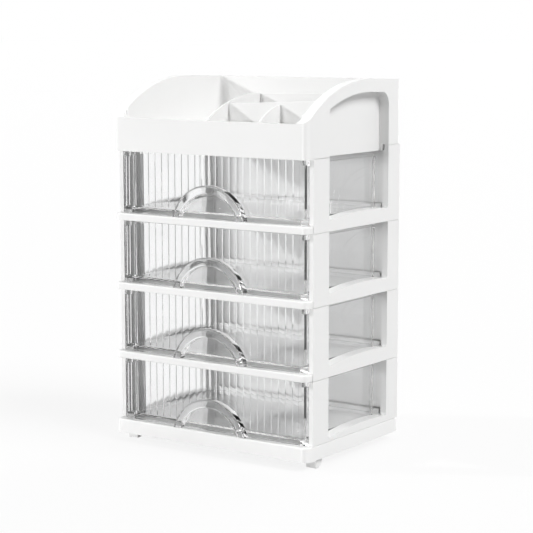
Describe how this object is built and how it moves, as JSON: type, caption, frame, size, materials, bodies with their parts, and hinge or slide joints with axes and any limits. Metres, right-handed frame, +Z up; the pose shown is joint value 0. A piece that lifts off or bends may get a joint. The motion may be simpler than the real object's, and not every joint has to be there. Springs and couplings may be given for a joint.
{
  "type": "desktop drawer organizer",
  "caption": "Desktop storage tower with clear fluted drawers that slide in a white moulded case, and an open divided tray on top.",
  "frame": {"origin": "on the floor under the centre of the case", "axes": "+Z up, +Y to the back, +X to the right seen from the front; the drawers open towards -Y"},
  "size_m": [0.2348, 0.1684, 0.367],
  "materials": {
    "white_plastic": "opaque white moulded plastic, smooth with a soft gloss",
    "clear_plastic": "clear colourless moulded plastic, polished, with vertical flutes on the front"
  },
  "bodies": {
    "frame": {"base_plinth": "white_plastic", "foot_front_left": "white_plastic", "foot_front_right": "white_plastic", "foot_rear_left": "white_plastic", "foot_rear_right": "white_plastic", "side_frame_left_1": "white_plastic", "side_frame_right_1": "white_plastic", "back_panel_1": "white_plastic", "side_frame_left_2": "white_plastic", "side_frame_right_2": "white_plastic", "back_panel_2": "white_plastic", "side_frame_left_3": "white_plastic", "side_frame_right_3": "white_plastic", "back_panel_3": "white_plastic", "side_frame_left_4": "white_plastic", "side_frame_right_4": "white_plastic", "back_panel_4": "white_plastic", "shelf_1": "white_plastic", "shelf_2": "white_plastic", "shelf_3": "white_plastic", "top_tray": "white_plastic", "tray_divider_long": "white_plastic", "tray_divider_short": "white_plastic", "tray_divider_cross": "white_plastic", "tray_divider_rear": "white_plastic"},
    "drawer_1_body": {"drawer_1": "clear_plastic"},
    "drawer_2_body": {"drawer_2": "clear_plastic"},
    "drawer_3_body": {"drawer_3": "clear_plastic"},
    "drawer_4_body": {"drawer_4": "clear_plastic"}
  },
  "joints": [
    {"name": "drawer_1_slide", "type": "slide", "parent": "frame", "child": "drawer_1_body", "axis": [0, -1, 0], "range_m": [0, 0.12]},
    {"name": "drawer_2_slide", "type": "slide", "parent": "frame", "child": "drawer_2_body", "axis": [0, -1, 0], "range_m": [0, 0.12]},
    {"name": "drawer_3_slide", "type": "slide", "parent": "frame", "child": "drawer_3_body", "axis": [0, -1, 0], "range_m": [0, 0.12]},
    {"name": "drawer_4_slide", "type": "slide", "parent": "frame", "child": "drawer_4_body", "axis": [0, -1, 0], "range_m": [0, 0.12]}
  ]
}
